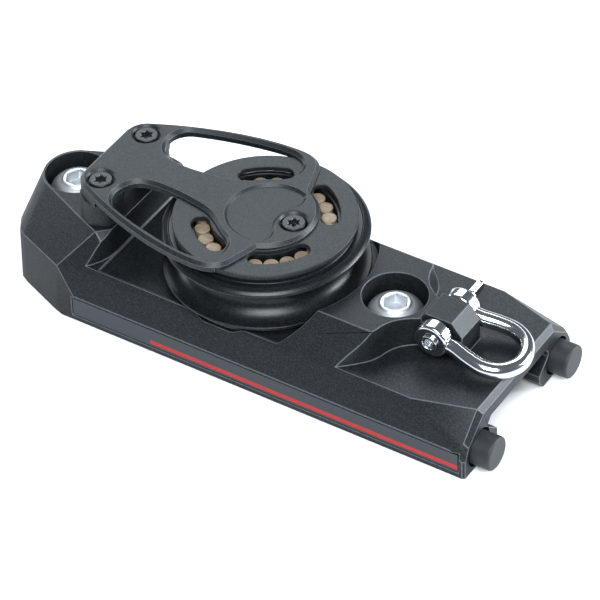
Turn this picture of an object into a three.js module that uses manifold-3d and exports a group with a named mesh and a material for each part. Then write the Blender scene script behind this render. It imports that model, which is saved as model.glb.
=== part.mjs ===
// Track end control with one horizontal sheave, a becket block and a bow shackle.
// Millimetres, +Z up. The parts are drawn with the sheave's axis at X = Y = 0 and the body's
// underside at Z = 0; the nose points to -X and the open track end to +X. The exported group is then
// shifted so that its origin is the centre of the whole object's footprint.

import * as THREE from "three";
import { ConvexGeometry } from "three/addons/geometries/ConvexGeometry.js";
import { mergeVertices } from "three/addons/utils/BufferGeometryUtils.js";
import Module from "manifold-3d";

const wasm = await Module();
wasm.setup();

// ---------------------------------------------------------------- driving dimensions

const RUNNING_GAP = 0.3; // between pieces that turn past each other
const SEAT_GAP = 0.05; // between pieces that rest on each other

// body
const BODY_HALF_WIDTH = 28.4;
const BODY_END_X = 78.6;
const SIDE_BAND_Z = 8.6; // top of the upright side band
const SHOULDER_Y = 24.5;
const FLOOR_Z = 17.5; // open floor round the becket block, and the rails beside the sheave
const PLATFORM_Z = 26.2;
const PLATFORM_CREASE_Y = 15.8;
const BOSS_Z = 25.6;
const NOSE_CREASE_Z = 15;
const NOSE_TIP_X = -76.6;

// sheave pocket
const POCKET_R = 30.6;
const POCKET_START_X = -40.2;
const POCKET_HALF_WIDTH = 23.8;
const POCKET_FLOOR_Z = 17.1;
const RACE_RECESS_Z = 15.9; // floor of the round recess under the lower race plate

// track channel: half-widths and heights of one side of its section
const CHANNEL_TOP_Z = 12.1;
const CHANNEL_SECTION = [
  [0, -1],
  [13.6, -1],
  [13.2, 0],
  [11.2, 2.6],
  [11.2, 5],
  [15.8, 9],
  [15.8, 10.6],
  [14.5, CHANNEL_TOP_Z],
  [0, CHANNEL_TOP_Z],
];
const CHANNEL_START_X = -71;

// deck bolts
const DECK_BOLT_X = { nose: -62.5, tail: 40.6 };
const COUNTERBORE_R = 9;
const BOLT_SEAT_Z = 16.8;
const BOLT_HEAD_R = 7.9;
const BOLT_SHANK_R = 4;
const BOLT_END_Z = 1.5;

// sheave and its bearing
const SHEAVE_R = 28.5;
const SHEAVE_MID_Z = 26.5;
const SHEAVE_HALF_HEIGHT = 8.4; // at the hub
const RIM_HALF_HEIGHT = 6.6; // at the rim
const GROOVE_R = 22.6;
const GROOVE_HALF_WIDTH = 5.2;
const SHEAVE_BORE_R = 19.4;
const SLEEVE_R = 14.8;
const SLEEVE_BORE_R = 5.7;
const ROLLER_COUNT = 24;
const ROLLER_R = 2.18;
const ROLLER_HALF_LENGTH = 7.4;
const ROLLER_PITCH_R = (SHEAVE_BORE_R + SLEEVE_R) / 2;
const BALL_COUNT = 24;
const BALL_R = 1.45;
const BALL_PITCH_R = 22.2;
const BALL_RACE_HALF_WIDTH = 1.65;
const RACE_PLATE_R = 25.2;
const RACE_PLATE_THICKNESS = 1.5;
const RACE_PLATE_INNER_Z = SHEAVE_HALF_HEIGHT + RUNNING_GAP; // from the sheave's mid plane
const BALL_Z = RACE_PLATE_INNER_Z - BALL_R - 0.1; // from the sheave's mid plane
const SLOT_INNER_R = 15;
const SLOT_OUTER_R = 20.2;
const SLOTS = [
  { centre: 45, halfAngle: 28 },
  { centre: -45, halfAngle: 28 },
  { centre: 122, halfAngle: 25 },
  { centre: -122, halfAngle: 25 },
];

// cheek plate
const CHEEK_TOP_Z = 38.2;
const CHEEK_UNDER_Z = 34.8;
const CHEEK_PAD_Z = 33.6; // underside of the thick end over the spacers
const CHEEK_BEVEL = 0.9;
const CHEEK_HUB_R = 14.6;
const CHEEK_RECESS_DEPTH = 0.5;
const CHEEK_SCREW = { x: -46, y: 11.1 };
const HUB_SCREW_X = 9.1;
const SCREW_HEAD_R = 3.25;
const SCREW_SHANK_R = 2.4;
const SCREW_COUNTERBORE_R = 3.65;
const SCREW_MOUTH_R = 4.3;
const SCREW_TOP_Z = 37.9;
const SCREW_END_Z = 13.5;
const SPACER_R = 6;

// becket block and shackle
const BECKET = { startX: 49, topX: 60.8, frontX: 64, halfWidth: 4.7, topZ: 28.6, chamferZ: 24.6 };
const PIN_AXIS = { x: 56.8, z: 23.8 };
const PIN_R = 2.4;
const PIN_HALF_LENGTH = 10.1;
const PIN_TAB = { startY: 11.6, endY: 18.3, halfWidth: 1.75, halfThickness: 0.9, neckR: 1.6 };
const EAR_R = 5;
const EAR_INNER_Y = 4.95;
const EAR_OUTER_Y = 9.3;
const SHACKLE_ROD_R = 2.25;
const SHACKLE_TILT = 8.8; // degrees below level, where the bow rests just above the floor

// bumper pegs
const PEG_Y = 20.6;
const PEG_Z = 5.6;
const PEG_R = 4.85;
const PEG_FACE_X = 84;
const PEG_ROOT_X = 64;
const PEG_RECESS_R = 5.6;
const PEG_RECESS_DEPTH = 3.2;

// side strips
const STRIP = { startX: -46, endX: 76.4, lowZ: 1.9, highZ: 7.7, thickness: 0.45 };
const STRIP_RECESS_DEPTH = 0.65;
const STRIP_MARGIN = 0.35;

// ---------------------------------------------------------------- finishes

const finishes = {
  body: { color: 0x2b2f32, roughness: 0.5, metalness: 0.6 },
  cheek: { color: 0x34383c, roughness: 0.45, metalness: 0.6 },
  sheave: { color: 0x2d3134, roughness: 0.38, metalness: 0.6 },
  racePlate: { color: 0x363a3e, roughness: 0.45, metalness: 0.6 },
  blackScrew: { color: 0x1d2022, roughness: 0.4, metalness: 0.7 },
  stainless: { color: 0xc9ccd0, roughness: 0.15, metalness: 1 },
  roller: { color: 0xc4b08e, roughness: 0.5, metalness: 0 },
  ball: { color: 0xe6e2d8, roughness: 0.4, metalness: 0 },
  rubber: { color: 0x26292b, roughness: 0.65, metalness: 0 },
  strip: { color: 0x5a6066, roughness: 0.4, metalness: 0 },
};

// ---------------------------------------------------------------- helpers

const degrees = THREE.MathUtils.degToRad;

// A closed geometry as a solid that can be joined and cut.
function solidOf(geometry) {
  const bare = geometry.clone();
  bare.deleteAttribute("normal");
  bare.deleteAttribute("uv");
  const merged = mergeVertices(bare, 1e-4);
  return new wasm.Manifold(
    new wasm.Mesh({
      numProp: 3,
      vertProperties: new Float32Array(merged.attributes.position.array),
      triVerts: new Uint32Array(merged.index.array),
    }),
  );
}

function geometryOf(solid) {
  const made = solid.getMesh();
  const stride = made.numProp;
  const positions = new Float32Array(made.numVert * 3);
  for (let i = 0; i < made.numVert; i++) {
    positions.set(made.vertProperties.subarray(i * stride, i * stride + 3), i * 3);
  }
  const geometry = new THREE.BufferGeometry();
  geometry.setAttribute("position", new THREE.BufferAttribute(positions, 3));
  geometry.setIndex(new THREE.BufferAttribute(new Uint32Array(made.triVerts), 1));
  geometry.computeVertexNormals();
  return geometry;
}

const join = (first, ...rest) => rest.reduce((sum, next) => sum.add(next), first);
const cut = (first, ...rest) => rest.reduce((left, next) => left.subtract(next), first);

// An upright round bar from low to high.
function bar(radius, low, high, x = 0, y = 0, sides = 40) {
  const geometry = new THREE.CylinderGeometry(radius, radius, high - low, sides);
  geometry.rotateX(Math.PI / 2);
  geometry.translate(x, y, (low + high) / 2);
  return solidOf(geometry);
}

// A round bar along Y, centred on y = middle.
function crossBar(radius, length, x, z, middle = 0, sides = 36) {
  const geometry = new THREE.CylinderGeometry(radius, radius, length, sides);
  geometry.translate(x, middle, z);
  return solidOf(geometry);
}

// A round bar along X from start to end.
function lengthBar(radius, start, end, y, z, sides = 32) {
  const geometry = new THREE.CylinderGeometry(radius, radius, end - start, sides);
  geometry.rotateZ(Math.PI / 2);
  geometry.translate((start + end) / 2, y, z);
  return solidOf(geometry);
}

function block(x0, x1, y0, y1, z0, z1) {
  const geometry = new THREE.BoxGeometry(x1 - x0, y1 - y0, z1 - z0);
  geometry.translate((x0 + x1) / 2, (y0 + y1) / 2, (z0 + z1) / 2);
  return solidOf(geometry);
}

// A turned piece: [radius, height] points anticlockwise, closed on itself or on the axis.
function turned(profile, sides = 56) {
  const points = profile.map(([r, z]) => new THREE.Vector2(r, z));
  const geometry = new THREE.LatheGeometry(points, sides);
  geometry.rotateX(Math.PI / 2);
  return geometry;
}

// A flat outline in XY raised from low to high.
function plate(shape, low, high, options = {}) {
  const bevel = options.bevel ?? 0;
  const geometry = new THREE.ExtrudeGeometry(shape, {
    depth: high - low - 2 * bevel,
    steps: options.steps ?? 1,
    curveSegments: options.curveSegments ?? 12,
    bevelEnabled: bevel > 0,
    bevelThickness: bevel,
    bevelSize: bevel,
    bevelOffset: -bevel,
    bevelSegments: 1,
  });
  geometry.translate(0, 0, low + bevel);
  return geometry;
}

// An outline in the upright XZ plane, spread over y = -halfWidth to halfWidth.
function sidePlate(points, halfWidth) {
  const shape = new THREE.Shape(points.map(([x, z]) => new THREE.Vector2(x, z)));
  const geometry = plate(shape, -halfWidth, halfWidth);
  geometry.rotateX(Math.PI / 2);
  return solidOf(geometry);
}

const vector = ([x, y, z]) => new THREE.Vector3(x, y, z);

// The convex solid round the points given for one side, and their mirror images in the Y = 0 plane.
function symmetricHull(points) {
  const mirrored = points.filter(([, y]) => y !== 0).map(([x, y, z]) => [x, -y, z]);
  return solidOf(new ConvexGeometry([...points, ...mirrored].map(vector)));
}

function hexagonSocket(acrossFlats, low, high) {
  return bar(acrossFlats / Math.sqrt(3), low, high, 0, 0, 6);
}

// A driving socket with six round lobes.
function lobedSocket(radius, low, high) {
  const outline = new THREE.Shape();
  const steps = 36;
  for (let i = 0; i < steps; i++) {
    const turn = (i * 2 * Math.PI) / steps;
    const reach = radius * (0.87 + 0.13 * Math.cos(6 * turn));
    outline[i ? "lineTo" : "moveTo"](reach * Math.cos(turn), reach * Math.sin(turn));
  }
  return solidOf(plate(outline, low, high));
}

function node(name, finish, shape, x = 0, y = 0, z = 0) {
  const geometry = shape.isBufferGeometry ? shape : geometryOf(shape);
  const mesh = new THREE.Mesh(geometry, new THREE.MeshStandardMaterial(finishes[finish]));
  mesh.name = name;
  mesh.position.set(x, y, z);
  return mesh;
}

// ---------------------------------------------------------------- base body

// Rounded nose outline of one side, from the long side to the tip.
const NOSE_FOOT = [
  [-50.2, BODY_HALF_WIDTH],
  [-53.1, 27.5],
  [-66.3, 22.1],
  [-68.7, 20.8],
  [-72.2, 16.2],
  [-74.6, 10.4],
  [-76.1, 4.8],
  [NOSE_TIP_X, 0],
];
const NOSE_CREASE = [
  [-52.3, 25.9],
  [-67.6, 19.8],
  [-70, 18.4],
  [-72.6, 14.2],
  [-74.4, 8.8],
  [-75.5, 4],
  [-75.8, 0],
];

function lowerHull() {
  const foot = NOSE_FOOT.map(([x, y]) => [x, y, 0]);
  const crease = NOSE_CREASE.map(([x, y]) => [x, y, NOSE_CREASE_Z]);
  return symmetricHull([
    ...foot,
    ...crease,
    [-45.6, BODY_HALF_WIDTH, SIDE_BAND_Z],
    [-44, SHOULDER_Y, FLOOR_Z],
    [60, SHOULDER_Y, FLOOR_Z],
    [77.2, 19.4, FLOOR_Z],
    [77.2, 26.4, 10.8],
    [BODY_END_X, 18.6, FLOOR_Z - 1.6],
    [BODY_END_X, 26.2, 9.6],
    [BODY_END_X, BODY_HALF_WIDTH - 0.5, 6],
    [BODY_END_X, BODY_HALF_WIDTH - 0.5, 0],
    [BODY_END_X - 0.8, BODY_HALF_WIDTH, 0],
    [BODY_END_X - 0.8, BODY_HALF_WIDTH, 6],
    [74, BODY_HALF_WIDTH, SIDE_BAND_Z],
  ]);
}

// The raised nose: a flat top round the bolt and the spacers, flanks that fall to the crease, and a
// wall across the sheave pocket that sweeps back towards the rails.
function noseHump() {
  const rim = [];
  const rimR = COUNTERBORE_R + 0.6;
  for (let angle = 100; angle <= 180; angle += 10) {
    const turn = degrees(angle);
    rim.push([DECK_BOLT_X.nose + rimR * Math.cos(turn), rimR * Math.sin(turn), BOSS_Z]);
  }
  const crease = NOSE_CREASE.map(([x, y]) => [x, y, NOSE_CREASE_Z]);
  const buried = NOSE_CREASE.map(([x, y]) => [x + 5, y * 0.8, NOSE_CREASE_Z - 3]);
  const hump = symmetricHull([
    ...rim,
    ...crease,
    ...buried,
    [-52.6, 14.9, BOSS_Z],
    [-43.6, 18.6, BOSS_Z],
    [-38, 13.4, BOSS_Z],
    [-38, 21, 21.5],
    [-38, SHOULDER_Y, FLOOR_Z],
    [-44, SHOULDER_Y, FLOOR_Z],
    [-38, 15, FLOOR_Z - 4],
  ]);
  const kept = new THREE.Shape();
  kept.moveTo(-90, -40);
  kept.lineTo(-60, -40);
  kept.bezierCurveTo(-46, -27, -40.4, -23, POCKET_START_X, -15);
  kept.lineTo(POCKET_START_X, 15);
  kept.bezierCurveTo(-40.4, 23, -46, 27, -60, 40);
  kept.lineTo(-90, 40);
  const below = block(-90, 0, -40, 40, 0, POCKET_FLOOR_Z);
  return hump.intersect(join(sweptWall(kept, BOSS_Z, -61, 0.1, 0.6), below));
}

// A plan outline raised to just above topZ, whose walls beyond fromX lean out a little towards +X as
// they come down, and spread into the floor at their foot.
function sweptWall(outline, topZ, fromX, lean, spread) {
  const geometry = plate(outline, FLOOR_Z - 3, topZ + 1, { steps: 6, curveSegments: 8 });
  const position = geometry.getAttribute("position");
  for (let i = 0; i < position.count; i++) {
    const drop = THREE.MathUtils.clamp((topZ - position.getZ(i)) / (topZ - FLOOR_Z), 0, 1);
    if (position.getX(i) > fromX) {
      position.setX(i, position.getX(i) + lean * drop + spread * drop ** 6);
    }
  }
  return solidOf(geometry);
}

// The raised middle platform. Its tail end sweeps from the becket block out to the rails.
function platform() {
  const startX = 10;
  const section = symmetricHull([
    [startX, SHOULDER_Y, FLOOR_Z],
    [startX, PLATFORM_CREASE_Y, PLATFORM_Z],
    [startX, 20, FLOOR_Z - 4],
    [60, SHOULDER_Y, FLOOR_Z],
    [60, PLATFORM_CREASE_Y, PLATFORM_Z],
    [60, 20, FLOOR_Z - 4],
  ]);
  const sweep = new THREE.Shape();
  sweep.moveTo(startX, -30);
  sweep.lineTo(29, -30);
  sweep.bezierCurveTo(38.6, -21.6, 42.6, -18.4, 43.5, -14.4);
  sweep.bezierCurveTo(44.2, -10.6, 46, -7.4, 51.5, -BECKET.halfWidth);
  sweep.lineTo(51.5, BECKET.halfWidth);
  sweep.bezierCurveTo(46, 7.4, 44.2, 10.6, 43.5, 14.4);
  sweep.bezierCurveTo(42.6, 18.4, 38.6, 21.6, 29, 30);
  sweep.lineTo(startX, 30);
  const swept = section.intersect(sweptWall(sweep, PLATFORM_Z, startX + 1, 0.5, 1.3));
  return cut(swept, bar(POCKET_R, FLOOR_Z, PLATFORM_Z + 2, 0, 0, 72));
}

function becketBlock() {
  const { startX, topX, frontX, halfWidth, topZ, chamferZ } = BECKET;
  const profile = [
    [startX, FLOOR_Z - 2],
    [frontX, FLOOR_Z - 2],
    [frontX, chamferZ],
    [topX, topZ],
    [startX + 3.6, topZ],
    [startX + 2, PLATFORM_Z],
    [startX, PLATFORM_Z],
  ];
  return sidePlate(profile, halfWidth);
}

function trackChannel() {
  const right = CHANNEL_SECTION.map(([y, z]) => new THREE.Vector2(y, z));
  const left = CHANNEL_SECTION.slice(1, -1).map(([y, z]) => new THREE.Vector2(-y, z));
  const section = new THREE.Shape([...right, ...left.reverse()]);
  const geometry = plate(section, 0, BODY_END_X + 10 - CHANNEL_START_X);
  // the section's own X and Y become Y and Z, and its depth runs along X
  const turn = new THREE.Matrix4().set(0, 0, 1, CHANNEL_START_X, 1, 0, 0, 0, 0, 1, 0, 0, 0, 0, 0, 1);
  geometry.applyMatrix4(turn);
  return solidOf(geometry);
}

function baseBody() {
  const hull = join(lowerHull(), noseHump(), platform(), becketBlock());
  const aboveFloor = PLATFORM_Z + 12;
  const pocketRound = bar(POCKET_R, POCKET_FLOOR_Z, aboveFloor, 0, 0, 72);
  const pocketMouth = block(POCKET_START_X + 0.7, 0, -40, 40, POCKET_FLOOR_Z, FLOOR_Z + 2);
  const pocketBand = block(-60, 60, -POCKET_HALF_WIDTH, POCKET_HALF_WIDTH, 0, aboveFloor);
  const pocket = join(pocketRound, pocketMouth).intersect(pocketBand);
  const racePlateRoom = bar(RACE_PLATE_R + 0.5, RACE_RECESS_Z, aboveFloor, 0, 0, 64);
  const seatZ = SHEAVE_MID_Z - RACE_PLATE_INNER_Z - RACE_PLATE_THICKNESS - SEAT_GAP;
  const seat = bar(SLEEVE_R, RACE_RECESS_Z - 1, seatZ);
  const spigot = bar(SLEEVE_BORE_R - 0.15, RACE_RECESS_Z - 1, SHEAVE_MID_Z);

  const drillings = [trackChannel()];
  for (const x of Object.values(DECK_BOLT_X)) {
    drillings.push(bar(COUNTERBORE_R, BOLT_SEAT_Z, aboveFloor, x, 0, 48));
    drillings.push(bar(BOLT_SHANK_R + RUNNING_GAP, -1, BOLT_SEAT_Z + 1, x, 0, 32));
  }
  const { startX, endX, lowZ, highZ } = STRIP;
  for (const side of [-1, 1]) {
    const recess = block(
      startX - STRIP_MARGIN,
      endX + STRIP_MARGIN,
      -STRIP_RECESS_DEPTH,
      STRIP_RECESS_DEPTH,
      lowZ - STRIP_MARGIN,
      highZ + STRIP_MARGIN,
    );
    drillings.push(recess.translate([0, side * BODY_HALF_WIDTH, 0]));
    const screwY = side * CHEEK_SCREW.y;
    drillings.push(bar(SCREW_SHANK_R + 0.15, 5, aboveFloor, CHEEK_SCREW.x, screwY, 24));
    const pegY = side * PEG_Y;
    drillings.push(lengthBar(PEG_RECESS_R, BODY_END_X - PEG_RECESS_DEPTH, BODY_END_X + 2, pegY, PEG_Z));
    drillings.push(lengthBar(PEG_R + 0.1, PEG_ROOT_X - 0.5, BODY_END_X, pegY, PEG_Z));
  }
  drillings.push(bar(SCREW_SHANK_R + 0.15, 5, SHEAVE_MID_Z + 1, HUB_SCREW_X, 0, 24));
  drillings.push(crossBar(PIN_R + 0.1, 20, PIN_AXIS.x, PIN_AXIS.z));
  const hollowed = join(cut(hull, pocket, racePlateRoom), seat, spigot);
  return cut(hollowed, ...drillings);
}

// ---------------------------------------------------------------- sheave and bearing

function sheave() {
  const raceIn = BALL_PITCH_R - BALL_RACE_HALF_WIDTH;
  const raceOut = BALL_PITCH_R + BALL_RACE_HALF_WIDTH;
  const raceFloor = BALL_Z - BALL_R - 0.1;
  const hub = SHEAVE_HALF_HEIGHT;
  const rim = RIM_HALF_HEIGHT;
  const outer = [
    [raceIn, hub],
    [raceIn, raceFloor],
    [raceOut, raceFloor],
    [raceOut, hub],
    [raceOut + 0.9, hub],
    [26.9, rim + 0.7],
    [28, rim],
    [SHEAVE_R, rim - 0.6],
  ];
  const lowerSide = outer.map(([r, z]) => [r, -z]);
  const groove = [];
  for (let angle = -90; angle <= 90; angle += 22.5) {
    const turn = degrees(angle);
    const depth = (SHEAVE_R - GROOVE_R) * Math.cos(turn);
    groove.push([SHEAVE_R - depth, GROOVE_HALF_WIDTH * Math.sin(turn)]);
  }
  const upperSide = [...outer].reverse();
  const profile = [[SHEAVE_BORE_R, -hub], ...lowerSide, ...groove, ...upperSide, [SHEAVE_BORE_R, hub]];
  profile.push(profile[0]);
  return turned(profile, 48);
}

// The retaining plate, drawn from its inner face at z = 0 upwards.
function racePlate(slotted) {
  const rim = 0.35;
  const disc = turned(
    [
      [0, 0],
      [RACE_PLATE_R - rim, 0],
      [RACE_PLATE_R, rim],
      [RACE_PLATE_R, RACE_PLATE_THICKNESS - rim],
      [RACE_PLATE_R - rim, RACE_PLATE_THICKNESS],
      [0, RACE_PLATE_THICKNESS],
    ],
    56,
  );
  const below = -1;
  const above = RACE_PLATE_THICKNESS + 1;
  const screwR = slotted ? SCREW_HEAD_R + 0.3 : SCREW_SHANK_R + RUNNING_GAP;
  const holes = [bar(screwR, below, above, HUB_SCREW_X, 0, 32), bar(SLEEVE_BORE_R, below, above, 0, 0, 32)];
  if (slotted) {
    for (const slot of SLOTS) {
      holes.push(solidOf(plate(slotOutline(slot), below, above, { curveSegments: 7 })));
    }
  }
  return cut(solidOf(disc), ...holes);
}

// A curved slot with round ends, centred on an angle round the axis.
function slotOutline({ centre, halfAngle }) {
  const middleR = (SLOT_INNER_R + SLOT_OUTER_R) / 2;
  const endR = (SLOT_OUTER_R - SLOT_INNER_R) / 2;
  const reach = halfAngle - THREE.MathUtils.radToDeg(endR / middleR);
  const from = degrees(centre - reach);
  const to = degrees(centre + reach);
  const outline = new THREE.Shape();
  outline.absarc(0, 0, SLOT_OUTER_R, from, to, false);
  outline.absarc(middleR * Math.cos(to), middleR * Math.sin(to), endR, to, to + Math.PI, false);
  outline.absarc(0, 0, SLOT_INNER_R, to, from, true);
  const lastX = middleR * Math.cos(from);
  const lastY = middleR * Math.sin(from);
  outline.absarc(lastX, lastY, endR, from + Math.PI, from + 2 * Math.PI, false);
  return outline;
}

function hubSleeve() {
  const length = 2 * RACE_PLATE_INNER_Z - 2 * SEAT_GAP;
  const body = bar(SLEEVE_R, -length / 2, length / 2, 0, 0, 64);
  const screwHole = bar(SCREW_SHANK_R + RUNNING_GAP, -length, length, HUB_SCREW_X, 0, 24);
  return cut(body, bar(SLEEVE_BORE_R, -length, length, 0, 0, 32), screwHole);
}

function roller() {
  const half = ROLLER_HALF_LENGTH;
  return turned(
    [
      [0, -half],
      [ROLLER_R, -half],
      [ROLLER_R, half],
      [0, half],
    ],
    14,
  );
}

// A row of side-load balls on the thin ring that spaces them.
function sideBalls() {
  const spacer = turned(
    [
      [BALL_PITCH_R - 0.35, -0.4],
      [BALL_PITCH_R + 0.35, -0.4],
      [BALL_PITCH_R + 0.35, 0.4],
      [BALL_PITCH_R - 0.35, 0.4],
      [BALL_PITCH_R - 0.35, -0.4],
    ],
    BALL_COUNT,
  );
  let row = solidOf(spacer);
  for (let i = 0; i < BALL_COUNT; i++) {
    const turn = (i * 2 * Math.PI) / BALL_COUNT;
    const ball = new THREE.SphereGeometry(BALL_R, 6, 4);
    ball.translate(BALL_PITCH_R * Math.cos(turn), BALL_PITCH_R * Math.sin(turn), 0);
    row = row.add(solidOf(ball));
  }
  return row;
}

// ---------------------------------------------------------------- cheek

// Outline of the cheek: wide end over the spacers, bowed arms, round hub over the sheave.
function cheekOutline() {
  const hubMeets = degrees(66);
  const outline = new THREE.Shape();
  outline.moveTo(-52.2, 9.6);
  outline.lineTo(-52.2, -9.6);
  outline.quadraticCurveTo(-52.2, -14.2, -47.6, -16.3);
  outline.bezierCurveTo(-34.6, -22.6, -19, -27.2, -6, -27.3);
  outline.bezierCurveTo(-1.5, -27.4, 2.2, -25.6, 3.2, -22);
  outline.lineTo(CHEEK_HUB_R * Math.cos(hubMeets), -CHEEK_HUB_R * Math.sin(hubMeets));
  outline.absarc(0, 0, CHEEK_HUB_R, -hubMeets, hubMeets, false);
  outline.lineTo(3.2, 22);
  outline.bezierCurveTo(2.2, 25.6, -1.5, 27.4, -6, 27.3);
  outline.bezierCurveTo(-19, 27.2, -34.6, 22.6, -47.6, 16.3);
  outline.quadraticCurveTo(-52.2, 14.2, -52.2, 9.6);
  return outline;
}

// One window; side is -1 for the front one and 1 for the rear one.
function cheekWindow(side) {
  const outline = new THREE.Path();
  const at = (x, y) => [x, side * y];
  outline.moveTo(...at(-34.6, 6.1));
  outline.bezierCurveTo(...at(-30, 4.8), ...at(-21, 5.9), ...at(-15, 7.3));
  outline.bezierCurveTo(...at(-10.4, 8.6), ...at(-7.6, 12), ...at(-3.4, 14.2));
  outline.bezierCurveTo(...at(-0.8, 16), ...at(-0.4, 19.6), ...at(-1.6, 21.8));
  outline.bezierCurveTo(...at(-3.4, 24.6), ...at(-7.2, 24.9), ...at(-11, 24.6));
  outline.bezierCurveTo(...at(-20, 23.6), ...at(-28, 21.7), ...at(-36, 18.9));
  outline.bezierCurveTo(...at(-41.2, 16.6), ...at(-40.8, 8), ...at(-34.6, 6.1));
  return outline;
}

// The shallow recess on the hub: a round field that bends in round the hub screw.
function hubRecess() {
  const middleX = 1.4;
  const radius = 12.1;
  const end = degrees(68);
  const outline = new THREE.Shape();
  outline.absarc(middleX, 0, radius, end, 2 * Math.PI - end, false);
  outline.bezierCurveTo(7.2, -10.4, 7.6, -7.4, 6.6, -5.5);
  outline.bezierCurveTo(3.9, -2.6, 3.9, 2.6, 6.6, 5.5);
  outline.bezierCurveTo(7.6, 7.4, 7.2, 10.4, middleX + radius * Math.cos(end), radius * Math.sin(end));
  return outline;
}

// The room for a screw head, with a bevelled mouth.
function screwHole(low, x, y) {
  const hole = bar(SCREW_COUNTERBORE_R, low, CHEEK_TOP_Z + 1, x, y, 36);
  const bevel = SCREW_MOUTH_R - SCREW_COUNTERBORE_R;
  const mouth = new THREE.CylinderGeometry(SCREW_MOUTH_R + bevel, SCREW_COUNTERBORE_R, 2 * bevel, 36);
  mouth.rotateX(Math.PI / 2);
  mouth.translate(x, y, CHEEK_TOP_Z);
  return hole.add(solidOf(mouth));
}

function cheekPlate() {
  const outline = cheekOutline();
  outline.holes.push(cheekWindow(-1), cheekWindow(1));
  const arms = solidOf(plate(outline, CHEEK_UNDER_Z, CHEEK_TOP_Z, { bevel: CHEEK_BEVEL, curveSegments: 8 }));
  const padTopZ = CHEEK_TOP_Z - 1;
  const padBand = block(-60, -43.4, -30, 30, CHEEK_PAD_Z - 1, padTopZ);
  const seats = [-1, 1].map((side) => {
    return bar(SPACER_R + 0.4, CHEEK_PAD_Z - 1, padTopZ, CHEEK_SCREW.x, side * CHEEK_SCREW.y, 36);
  });
  const padShape = solidOf(plate(outline, CHEEK_PAD_Z, padTopZ, { curveSegments: 8 }));
  const pad = padShape.intersect(join(padBand, ...seats));
  const discTopZ = SHEAVE_MID_Z + RACE_PLATE_INNER_Z + RACE_PLATE_THICKNESS + SEAT_GAP;
  const discRoom = bar(RACE_PLATE_R + 0.4, CHEEK_PAD_Z - 1, discTopZ, 0, 0, 72);
  const recess = solidOf(plate(hubRecess(), CHEEK_TOP_Z - CHEEK_RECESS_DEPTH, CHEEK_TOP_Z + 1));
  const drillings = [discRoom, recess, screwHole(CHEEK_UNDER_Z - 1, HUB_SCREW_X, 0)];
  for (const side of [-1, 1]) {
    const y = side * CHEEK_SCREW.y;
    drillings.push(screwHole(SCREW_TOP_Z - 2.5, CHEEK_SCREW.x, y));
    drillings.push(bar(SCREW_SHANK_R + RUNNING_GAP, CHEEK_PAD_Z - 1, CHEEK_TOP_Z, CHEEK_SCREW.x, y, 24));
  }
  return cut(join(arms, pad), ...drillings);
}

// A socket screw with its head's top at z = 0.
function socketScrew(headHeight, length) {
  const edge = 0.4;
  const profile = [
    [0, -length],
    [SCREW_SHANK_R, -length],
    [SCREW_SHANK_R, -headHeight],
    [SCREW_HEAD_R, -headHeight],
    [SCREW_HEAD_R, -edge],
    [SCREW_HEAD_R - edge, 0],
    [0, 0],
  ];
  return cut(solidOf(turned(profile, 28)), lobedSocket(1.75, -1.7, 1));
}

function cheekSpacer() {
  const high = CHEEK_PAD_Z - SEAT_GAP;
  const low = BOSS_Z + SEAT_GAP;
  return cut(bar(SPACER_R, low, high), bar(SCREW_SHANK_R + RUNNING_GAP, low - 1, high + 1, 0, 0, 24));
}

// ---------------------------------------------------------------- deck bolts

// A domed socket bolt, drawn at its real height on the sheave axis.
function deckBolt() {
  const headLow = BOLT_SEAT_Z + SEAT_GAP;
  const dome = [];
  for (let angle = 0; angle <= 56; angle += 14) {
    const turn = degrees(angle);
    dome.push([BOLT_HEAD_R * Math.cos(turn), headLow + 2.6 + 4.6 * Math.sin(turn)]);
  }
  const ringLow = dome[dome.length - 1];
  const top = ringLow[1] + 0.4;
  const profile = [
    [0, BOLT_END_Z],
    [BOLT_SHANK_R - 0.6, BOLT_END_Z],
    [BOLT_SHANK_R, BOLT_END_Z + 0.6],
    [BOLT_SHANK_R, headLow],
    [BOLT_HEAD_R - 0.3, headLow],
    ...dome,
    [ringLow[0] - 0.4, top],
    [0, top],
  ];
  return cut(solidOf(turned(profile, 32)), hexagonSocket(6, top - 3.2, top + 1));
}

// ---------------------------------------------------------------- shackle

// The bow, drawn level with the pin's axis through the origin along Y.
function shackleBow() {
  const side = [
    [2.4, 7.05],
    [6.2, 7],
    [11.2, 8.1],
    [16, 8.5],
    [19.8, 6.9],
    [22.2, 3.6],
  ];
  const route = [...side, [23, 0], ...[...side].reverse().map(([x, y]) => [x, -y])];
  const path = new THREE.CatmullRomCurve3(route.map(([x, y]) => new THREE.Vector3(x, y, 0)));
  const section = new THREE.Shape();
  section.absarc(0, 0, SHACKLE_ROD_R, 0, 2 * Math.PI);
  const rod = new THREE.ExtrudeGeometry(section, { extrudePath: path, steps: 36, curveSegments: 5 });
  const edge = 0.9;
  const half = (EAR_OUTER_Y - EAR_INNER_Y) / 2;
  const ear = turned(
    [
      [0, -half],
      [EAR_R - edge, -half],
      [EAR_R, -half + edge],
      [EAR_R, half - edge],
      [EAR_R - edge, half],
      [0, half],
    ],
    24,
  );
  ear.rotateX(Math.PI / 2);
  const middle = EAR_INNER_Y + half;
  const ears = [-1, 1].map((at) => solidOf(ear.clone().translate(0, at * middle, 0)));
  const innerFaces = block(-EAR_R, 5.6, -EAR_INNER_Y, EAR_INNER_Y, -EAR_R, EAR_R);
  return cut(join(solidOf(rod), ...ears), innerFaces, crossBar(PIN_R + 0.08, 30, 0, 0));
}

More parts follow.
